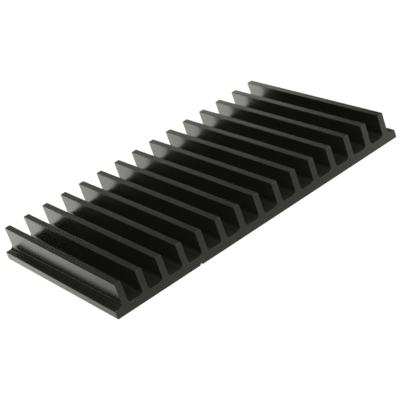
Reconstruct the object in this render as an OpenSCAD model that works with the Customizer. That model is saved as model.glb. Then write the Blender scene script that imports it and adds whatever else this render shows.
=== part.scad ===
// Extruded heat sink: a flat base plate carrying a comb of straight cooling fins.
// It is one aluminium bar, pressed through a die, sawn to length and anodised black.
// Millimetres. X runs across the fins, Y along the extrusion and Z from the flat underside up to the fin tips.
// The origin is the middle of the underside.

/* [Bar] */
// Overall width across the fins, with both ledges
overall_w = 160; // [145:1:240]
// Overall height from the underside to the fin tips
overall_h = 15; // [9:0.5:40]
// Length sawn off the bar
cut_length = 100; // [20:1:300]

/* [Base plate] */
// Thickness of the plate under the channels and at its ledges
base_t = 4; // [2.5:0.1:8]
// Width of the bare ledge beside each outer fin
ledge_w = 4.1; // [2.8:0.1:12]
// Radius of the four long edges of the plate
plate_edge_r = 0.4; // [0.1:0.05:1]

/* [Fins] */
// Number of fins
fin_count = 15; // [2:1:17]
// Thickness of a fin, the same from root to tip
fin_t = 3; // [1.2:0.1:4.8]
// Radius of the two long edges of a fin tip
tip_edge_r = 0.3; // [0.1:0.05:0.55]
// Radius of the fillets where a fin grows out of the plate
root_fillet_r = 1.8; // [0.4:0.1:2.3]

/* [Edge nick] */
// Distance from the left edge of the plate to the small nick in the lower edge of the front end
nick_from_left = 44.4; // [5:0.1:120]
// Width of the nick where it breaks the sawn end
nick_w = 0.6; // [0.2:0.1:2]
// Height of the nick where it breaks the sawn end
nick_h = 1.1; // [0.2:0.1:2]
// Distance from the sawn end at which the nick runs out along the underside
nick_run = 2.5; // [0.5:0.1:8]

/* [Hidden] */

$fn = 48;

// How far a cut reaches past the face that it opens
clear_cut = 1;
// How far a fin and its fillets reach into the metal that carries them
weld = 0.5;

BLACK_ANODISED = [0.13, 0.135, 0.13];

// Fins stand at an even pitch between the two ledges.
fin_h = overall_h - base_t;
fin_pitch = (overall_w - 2 * ledge_w - fin_t) / (fin_count - 1);

// Middle of fin number i, counted from 0 on the left
function fin_x(i) = (i - (fin_count - 1) / 2) * fin_pitch;

// Plate: a long rectangle with its four corners rounded
module plate_profile() {
    half_w = overall_w / 2;
    translate([-half_w + plate_edge_r, 0])
        square([overall_w - 2 * plate_edge_r, base_t]);
    translate([-half_w, plate_edge_r])
        square([overall_w, base_t - 2 * plate_edge_r]);
    for (side = [-1, 1], z = [plate_edge_r, base_t - plate_edge_r])
        translate([side * (half_w - plate_edge_r), z])
            circle(plate_edge_r);
}

// Blade of a fin, standing on the channel floor at height 0, with both corners of its tip rounded
module fin_blade() {
    translate([-fin_t / 2, -weld])
        square([fin_t, weld + fin_h - tip_edge_r]);
    translate([-fin_t / 2 + tip_edge_r, -weld])
        square([fin_t - 2 * tip_edge_r, weld + fin_h]);
    for (side = [-1, 1])
        translate([side * (fin_t / 2 - tip_edge_r), fin_h - tip_edge_r])
            circle(tip_edge_r);
}

// Fillet on the right of a fin: a square corner, less the circle that touches both side and floor
module root_fillet() {
    difference() {
        translate([fin_t / 2 - weld, -weld])
            square(weld + root_fillet_r);
        translate([fin_t / 2 + root_fillet_r, root_fillet_r])
            circle(root_fillet_r);
    }
}

// One fin with the fillets at its foot
module fin_profile() {
    fin_blade();
    root_fillet();
    mirror([1, 0])
        root_fillet();
}

// The section that the die gives the bar
module bar_profile() {
    plate_profile();
    for (i = [0 : fin_count - 1])
        translate([fin_x(i), base_t])
            fin_profile();
}

// Nick: a V-shaped cut whose ridge slopes down from the sawn end and runs out at the underside
module edge_nick() {
    ridge_angle = atan(nick_h / nick_run);
    ridge_length = norm([nick_run, nick_h]) + 2 * clear_cut;
    section_h = nick_h * cos(ridge_angle);
    translate([nick_from_left - overall_w / 2, -cut_length / 2, nick_h])
        rotate([-90 - ridge_angle, 0, 0])
            translate([0, 0, -clear_cut])
                linear_extrude(ridge_length)
                    polygon([[0, 0], [nick_w, 2 * section_h], [-nick_w, 2 * section_h]]);
}

// The whole bar, sawn square at both ends
module heat_sink() {
    color(BLACK_ANODISED)
        difference() {
            translate([0, cut_length / 2, 0])
                rotate([90, 0, 0])
                    linear_extrude(cut_length)
                        bar_profile();
            edge_nick();
        }
}

heat_sink();
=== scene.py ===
import math

import bpy
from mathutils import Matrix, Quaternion, Vector


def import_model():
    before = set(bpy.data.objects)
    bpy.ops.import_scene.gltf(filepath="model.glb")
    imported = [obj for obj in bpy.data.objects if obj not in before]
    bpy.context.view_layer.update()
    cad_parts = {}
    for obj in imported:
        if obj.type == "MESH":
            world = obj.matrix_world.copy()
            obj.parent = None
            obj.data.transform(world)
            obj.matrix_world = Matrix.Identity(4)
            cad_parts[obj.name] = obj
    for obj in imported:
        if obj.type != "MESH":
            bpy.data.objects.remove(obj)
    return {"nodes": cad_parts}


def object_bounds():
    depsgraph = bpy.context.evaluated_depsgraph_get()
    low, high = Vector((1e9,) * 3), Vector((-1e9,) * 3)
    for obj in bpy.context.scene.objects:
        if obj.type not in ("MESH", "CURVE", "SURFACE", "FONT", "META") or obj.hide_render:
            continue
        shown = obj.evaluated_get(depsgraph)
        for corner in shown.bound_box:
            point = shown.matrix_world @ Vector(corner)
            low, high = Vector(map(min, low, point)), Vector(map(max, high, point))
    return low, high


MM = 0.001

# Camera: angles in degrees, lengths in metres.
CAMERA_AZIMUTH = -26.999
CAMERA_ELEVATION = 26.028
CAMERA_ROLL = -19.689
CAMERA_DISTANCE = 0.622997
CAMERA_AIM_X = -7.826 * MM
CAMERA_AIM_Y = -14.417 * MM
LENS = 124.602
SENSOR = 36.0

# Studio: radiance 1 shows as white.
FLOOR_SIZE = 12.0
FLOOR_WHITE = (1.03, 1.04, 1.0, 1.0)
LIGHT_WHITE = (0.985, 1.0, 0.925, 1.0)
WORLD_GLOW = 0.06
SOFTBOX_DISTANCE = 1.5
TABLE_DROP = 0.01 * MM

# Light table: an even glow, a rise towards the right and back, and a pool of light behind the part.
TABLE_EVEN = 0.67
TABLE_RISE = 3.3
TABLE_RISE_TURN = 26.0
TABLE_RISE_FROM = 0.0
TABLE_RISE_TO = 0.177
POOL_GLOW = 1.4
POOL_CENTRE = (0.041, 0.113)
POOL_REACH = (0.53, 0.234)
TABLE_DARK_LEFT = -0.13
TABLE_LIT_LEFT = -0.085

# Colours, linear.
DARK_SKIN = (0.0038, 0.004, 0.0033, 1.0)
PALE_SKIN = (0.0134, 0.0142, 0.0112, 1.0)
RUBBED_EDGE = (0.06, 0.061, 0.058, 1.0)
BARE_METAL = (0.48, 0.48, 0.46, 1.0)

# Finish: noise scales are per metre.
ANODISED_IOR = 1.4
DRAWN_ROUGHNESS = 0.08
SAWN_ROUGHNESS = 0.30
FLANK_ROUGHNESS = 0.07
DRAWN_ANISOTROPY = 0.5
DIE_LINE_SCALE = (3200.0, 9.0, 3200.0)
DIE_BAND_SCALE = (420.0, 3.0, 420.0)
GRAIN_SCALE = 5200.0
MOTTLE_SCALE = 55.0
SAW_MARK_SCALE = 2600.0
SAW_BLADE_CENTRE = (0.11, 0.0, -0.19)
RELIEF = 0.003 * MM

# The nick's bare metal, from the middle of the part and the underside.
NICK_X = -35.6 * MM
NICK_HEIGHT = 0.3 * MM
BARE_INSIDE = 0.45 * MM
BARE_OUTSIDE = 0.65 * MM

# Bevel of the sawn edges.
SAWN_EDGE = 0.12 * MM
SAWN_EDGE_ANGLE = 40.0
MERGE = 0.002 * MM


def add_node(tree, kind, **inputs):
    """A shader node of that kind.

    Inputs are links or constants, by socket name with _ for a space, or i and the socket's number.
    """
    node = tree.nodes.new(kind)
    for name, value in inputs.items():
        socket = node.inputs[int(name[1:])] if name[0] == "i" and name[1:].isdigit() else None
        if socket is None:
            socket = node.inputs[name.replace("_", " ")]
        if isinstance(value, bpy.types.NodeSocket):
            tree.links.new(value, socket)
        else:
            socket.default_value = value
    return node


def maths(tree, operation, a, b=None, c=None, clamp=False):
    node = tree.nodes.new("ShaderNodeMath")
    node.operation = operation
    node.use_clamp = clamp
    for socket, value in zip(node.inputs, (a, b, c)):
        if isinstance(value, bpy.types.NodeSocket):
            tree.links.new(value, socket)
        elif value is not None:
            socket.default_value = value
    return node.outputs[0]


def stepped(tree, value, low, high, to_low=0.0, to_high=1.0):
    """A smooth step from to_low to to_high as the value goes from low to high."""
    node = tree.nodes.new("ShaderNodeMapRange")
    node.interpolation_type = "SMOOTHSTEP"
    tree.links.new(value, node.inputs["Value"])
    node.inputs["From Min"].default_value = low
    node.inputs["From Max"].default_value = high
    node.inputs["To Min"].default_value = to_low
    node.inputs["To Max"].default_value = to_high
    return node.outputs["Result"]


def noise(tree, vector, scale, detail=2.0, roughness=0.5):
    node = tree.nodes.new("ShaderNodeTexNoise")
    tree.links.new(vector, node.inputs["Vector"])
    node.inputs["Scale"].default_value = scale
    node.inputs["Detail"].default_value = detail
    node.inputs["Roughness"].default_value = roughness
    return node.outputs["Fac"]


def stretched(tree, vector, scale, shift=(0.0, 0.0, 0.0)):
    node = tree.nodes.new("ShaderNodeMapping")
    tree.links.new(vector, node.inputs["Vector"])
    node.inputs["Scale"].default_value = scale
    node.inputs["Location"].default_value = shift
    return node.outputs["Vector"]


def mixed(tree, factor, a, b):
    node = tree.nodes.new("ShaderNodeMix")
    node.data_type = "RGBA"
    for index, value in ((0, factor), (6, a), (7, b)):
        if isinstance(value, bpy.types.NodeSocket):
            tree.links.new(value, node.inputs[index])
        else:
            node.inputs[index].default_value = value
    return node.outputs[2]


def blended(tree, factor, a, b):
    """a where factor is 0 and b where it is 1, for plain numbers."""
    node = tree.nodes.new("ShaderNodeMix")
    node.data_type = "FLOAT"
    for index, value in ((0, factor), (2, a), (3, b)):
        if isinstance(value, bpy.types.NodeSocket):
            tree.links.new(value, node.inputs[index])
        else:
            node.inputs[index].default_value = value
    return node.outputs[0]


def new_material(name):
    material = bpy.data.materials.new(name)
    material.use_nodes = True
    tree = material.node_tree
    shader = tree.nodes["Principled BSDF"]
    return material, tree, shader


def black_anodised(nick_at):
    """Black anodised extrusion: die lines along Y, saw marks on its ends, rubbed sawn edges, a bare nick."""
    material, tree, shader = new_material("black_anodised")
    coords = tree.nodes.new("ShaderNodeTexCoord")
    place = coords.outputs["Object"]
    facing = add_node(tree, "ShaderNodeSeparateXYZ", Vector=coords.outputs["Normal"]).outputs
    end_facing = maths(tree, "ABSOLUTE", facing["Y"])
    sawn = stepped(tree, end_facing, 0.55, 0.9)

    die_lines = noise(tree, stretched(tree, place, DIE_LINE_SCALE), 1.0, 3.0, 0.6)
    die_bands = noise(tree, stretched(tree, place, DIE_BAND_SCALE), 1.0, 2.0, 0.5)
    grain = noise(tree, place, GRAIN_SCALE, 2.0, 0.7)
    mottle = noise(tree, place, MOTTLE_SCALE, 3.0, 0.55)

    # Saw marks: arcs about a blade centre far from the bar.
    blade = add_node(tree, "ShaderNodeVectorMath", i0=place)
    blade.operation = "SUBTRACT"
    blade.inputs[1].default_value = SAW_BLADE_CENTRE
    flat = stretched(tree, blade.outputs[0], (1.0, 0.0, 1.0))
    reach = tree.nodes.new("ShaderNodeVectorMath")
    reach.operation = "LENGTH"
    tree.links.new(flat, reach.inputs[0])
    along = add_node(tree, "ShaderNodeCombineXYZ", X=reach.outputs["Value"])
    saw_marks = noise(tree, along.outputs[0], SAW_MARK_SCALE, 3.0, 0.7)

    # Roughness of the two finishes.
    flank = stepped(tree, maths(tree, "ABSOLUTE", facing["X"]), 0.6, 0.95, 0.0, FLANK_ROUGHNESS)
    drawn = maths(tree, "MULTIPLY_ADD", die_bands, 0.08, DRAWN_ROUGHNESS)
    drawn = maths(tree, "ADD", drawn, flank)
    drawn = maths(tree, "MULTIPLY_ADD", die_lines, 0.06, drawn)
    drawn = maths(tree, "MULTIPLY_ADD", mottle, 0.05, drawn)
    cut = maths(tree, "MULTIPLY_ADD", saw_marks, 0.10, SAWN_ROUGHNESS)
    cut = maths(tree, "MULTIPLY_ADD", mottle, 0.05, cut)
    rough = blended(tree, sawn, drawn, cut)

    # Colour.
    shade = maths(tree, "MULTIPLY_ADD", mottle, 0.5, 0.75)
    fleck = stepped(tree, grain, 0.35, 0.75, 0.85, 1.3)
    shade = maths(tree, "MULTIPLY", shade, fleck)
    dark = mixed(tree, shade, DARK_SKIN, PALE_SKIN)

    # Rubbed edges of the sawn ends: the small bevel's normals lie between Y and the profile.
    squared = maths(tree, "MULTIPLY", end_facing, end_facing)
    leaning = maths(tree, "SUBTRACT", 1.0, squared)
    on_edge = maths(tree, "MULTIPLY", squared, leaning)
    on_edge = stepped(tree, on_edge, 0.05, 0.22)
    patchy = stepped(tree, noise(tree, place, 700.0, 3.0, 0.6), 0.35, 0.7)
    rubbed = maths(tree, "MULTIPLY", on_edge, patchy)
    colour = mixed(tree, maths(tree, "MULTIPLY", rubbed, 0.5), dark, RUBBED_EDGE)

    # The nick shows bare metal.
    near = add_node(tree, "ShaderNodeVectorMath", i0=place)
    near.operation = "DISTANCE"
    near.inputs[1].default_value = nick_at
    bare = stepped(tree, near.outputs["Value"], BARE_INSIDE, BARE_OUTSIDE, 1.0, 0.0)
    colour = mixed(tree, bare, colour, BARE_METAL)

    # Relief of the lines, the saw marks and the grain.
    height = maths(tree, "MULTIPLY_ADD", die_bands, 2.0, die_lines)
    height = blended(tree, sawn, height, maths(tree, "MULTIPLY", saw_marks, 2.0))
    height = maths(tree, "MULTIPLY_ADD", grain, 0.25, height)
    bump = add_node(tree, "ShaderNodeBump", Strength=1.0, Distance=RELIEF, Height=height)

    # Drawn metal spreads its reflections across the die lines.
    tangent = tree.nodes.new("ShaderNodeTangent")
    tangent.direction_type = "RADIAL"
    tangent.axis = "Y"
    tree.links.new(tangent.outputs["Tangent"], shader.inputs["Tangent"])
    tree.links.new(blended(tree, sawn, DRAWN_ANISOTROPY, 0.0), shader.inputs["Anisotropic"])

    tree.links.new(colour, shader.inputs["Base Color"])
    tree.links.new(rough, shader.inputs["Roughness"])
    tree.links.new(bump.outputs["Normal"], shader.inputs["Normal"])
    shader.inputs["IOR"].default_value = ANODISED_IOR
    return material


def dress_heat_sink(node, lo):
    """The CAD solid keeps its shape; its sharp sawn edges get a very small bevel."""
    weld = node.modifiers.new("weld", "WELD")
    weld.merge_threshold = MERGE
    flatten = node.modifiers.new("flatten", "DECIMATE")
    flatten.decimate_type = "DISSOLVE"
    flatten.angle_limit = math.radians(1.0)
    bevel = node.modifiers.new("sawn_edges", "BEVEL")
    bevel.limit_method = "ANGLE"
    bevel.angle_limit = math.radians(SAWN_EDGE_ANGLE)
    bevel.width = SAWN_EDGE
    bevel.segments = 3
    bevel.harden_normals = True
    nick_at = (NICK_X, lo.y, lo.z + NICK_HEIGHT)
    material = black_anodised(nick_at)
    for index in range(len(node.material_slots)):
        node.material_slots[index].material = material


def plane(name, half, z, material):
    """A square plane at height z, carrying the given material."""
    corners = [(-half, -half, z), (half, -half, z), (half, half, z), (-half, half, z)]
    mesh = bpy.data.meshes.new(name)
    mesh.from_pydata(corners, [], [(0, 1, 2, 3)])
    mesh.materials.append(material)
    obj = bpy.data.objects.new(name, mesh)
    bpy.context.scene.collection.objects.link(obj)
    return obj


def glow_material(name, colour):
    """A surface that only gives light."""
    material, tree, shader = new_material(name)
    shader.inputs["Base Color"].default_value = (0.0, 0.0, 0.0, 1.0)
    shader.inputs["Roughness"].default_value = 1.0
    shader.inputs["Specular IOR Level"].default_value = 0.0
    shader.inputs["Emission Color"].default_value = colour
    shader.inputs["Emission Strength"].default_value = 1.0
    return material, tree, shader


def seen_by(obj, camera):
    """Shown to the camera alone, or to all but the camera."""
    obj.visible_camera = camera
    obj.visible_diffuse = not camera
    obj.visible_glossy = not camera
    obj.visible_shadow = False


def table_material():
    """The light table: dark beyond the left end, brighter to the right, brightest just behind the part."""
    material, tree, shader = glow_material("light_table", LIGHT_WHITE)
    place = tree.nodes.new("ShaderNodeTexCoord").outputs["Object"]
    split = add_node(tree, "ShaderNodeSeparateXYZ", Vector=place).outputs
    x, y = split["X"], split["Y"]

    turn = math.radians(TABLE_RISE_TURN)
    along = maths(tree, "MULTIPLY_ADD", y, math.sin(turn), maths(tree, "MULTIPLY", x, math.cos(turn)))
    glow = stepped(tree, along, TABLE_RISE_FROM, TABLE_RISE_TO, TABLE_EVEN, TABLE_EVEN + TABLE_RISE)

    aside = maths(tree, "DIVIDE", maths(tree, "SUBTRACT", x, POOL_CENTRE[0]), POOL_REACH[0])
    behind = maths(tree, "DIVIDE", maths(tree, "SUBTRACT", y, POOL_CENTRE[1]), POOL_REACH[1])
    spread = maths(tree, "MULTIPLY_ADD", aside, aside, maths(tree, "MULTIPLY", behind, behind))
    away = maths(tree, "SQRT", spread)
    glow = maths(tree, "ADD", glow, stepped(tree, away, 0.0, 1.0, POOL_GLOW, 0.0))

    lit = stepped(tree, x, TABLE_DARK_LEFT, TABLE_LIT_LEFT)
    glow = maths(tree, "MULTIPLY", glow, lit)
    tree.links.new(glow, shader.inputs["Emission Strength"])
    return material


def add_floor(lo):
    floor = plane("studio_floor", FLOOR_SIZE / 2, lo.z, glow_material("pale_floor", FLOOR_WHITE)[0])
    seen_by(floor, camera=True)
    table = plane("light_table", FLOOR_SIZE / 2, lo.z - TABLE_DROP, table_material())
    seen_by(table, camera=False)


def softbox(name, aim, azimuth, elevation, half_width, half_height, radiance):
    """A soft light that faces aim and fills that angle as seen from it.

    Angles are in degrees. Azimuth 0 is behind the part and 90 to its right.
    """
    data = bpy.data.lights.new(name, "AREA")
    data.shape = "RECTANGLE"
    data.size = 2 * SOFTBOX_DISTANCE * math.tan(math.radians(half_width))
    data.size_y = 2 * SOFTBOX_DISTANCE * math.tan(math.radians(half_height))
    data.energy = radiance * math.pi * data.size * data.size_y
    data.color = LIGHT_WHITE[:3]
    light = bpy.data.objects.new(name, data)
    a = math.radians(azimuth)
    e = math.radians(elevation)
    away = Vector((math.sin(a) * math.cos(e), math.cos(a) * math.cos(e), math.sin(e)))
    light.location = aim + away * SOFTBOX_DISTANCE
    light.rotation_mode = "QUATERNION"
    light.rotation_quaternion = away.to_track_quat("Z", "Y")
    bpy.context.scene.collection.objects.link(light)


def softbox_bank(name, aim, azimuth, elevation, half_width, half_height, radiance, count):
    """Softboxes side by side at one height, on an arc about aim."""
    half_each = half_width / count
    step = 2 * half_each / math.cos(math.radians(elevation))
    for index in range(count):
        turned = azimuth + (index - (count - 1) / 2) * step
        softbox(f"{name}_{index + 1}", aim, turned, elevation, half_each, half_height, radiance)


def add_lights(lo, hi):
    aim = Vector(((lo.x + hi.x) / 2, (lo.y + hi.y) / 2, hi.z))
    softbox_bank("back_strip", aim, azimuth=21.5, elevation=18.0,
                 half_width=18.0, half_height=3.0, radiance=2.26, count=2)
    softbox_bank("front_left_softbox", aim, azimuth=-129.5, elevation=49.7,
                 half_width=54.5, half_height=11.2, radiance=2.25, count=5)
    softbox_bank("front_right_softbox", aim, azimuth=138.6, elevation=48.3,
                 half_width=53.3, half_height=20.5, radiance=2.77, count=5)
    softbox("overhead_softbox", aim, azimuth=0.0, elevation=89.9,
            half_width=18.5, half_height=18.5, radiance=2.1)


def add_world():
    world = bpy.data.worlds.new("studio")
    bpy.context.scene.world = world
    world.use_nodes = True
    background = world.node_tree.nodes["Background"]
    background.inputs["Color"].default_value = LIGHT_WHITE
    background.inputs["Strength"].default_value = WORLD_GLOW


def add_camera(lo, hi):
    """The camera at the photograph's viewing angle, held a little turned about its own axis."""
    azimuth = math.radians(CAMERA_AZIMUTH)
    elevation = math.radians(CAMERA_ELEVATION)
    back = Vector((
        math.sin(azimuth) * math.cos(elevation),
        -math.cos(azimuth) * math.cos(elevation),
        math.sin(elevation),
    ))
    aim = (lo + hi) / 2 + Vector((CAMERA_AIM_X, CAMERA_AIM_Y, 0.0))
    data = bpy.data.cameras.new("camera")
    data.lens = LENS
    data.sensor_width = SENSOR
    data.clip_start = 0.01
    data.clip_end = 50.0
    camera = bpy.data.objects.new("camera", data)
    camera.location = aim + back * CAMERA_DISTANCE
    level = (-back).to_track_quat("-Z", "Y")
    roll = Quaternion((0.0, 0.0, 1.0), math.radians(CAMERA_ROLL))
    camera.rotation_mode = "QUATERNION"
    camera.rotation_quaternion = level @ roll
    bpy.context.scene.collection.objects.link(camera)
    bpy.context.scene.camera = camera


def main():
    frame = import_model()
    lo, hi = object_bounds()
    scene = bpy.context.scene
    scene.view_settings.view_transform = "Standard"
    add_camera(Vector(lo), Vector(hi))
    add_floor(Vector(lo))
    add_lights(Vector(lo), Vector(hi))
    add_world()
    dress_heat_sink(frame["nodes"]["heat_sink"], Vector(lo))


main()
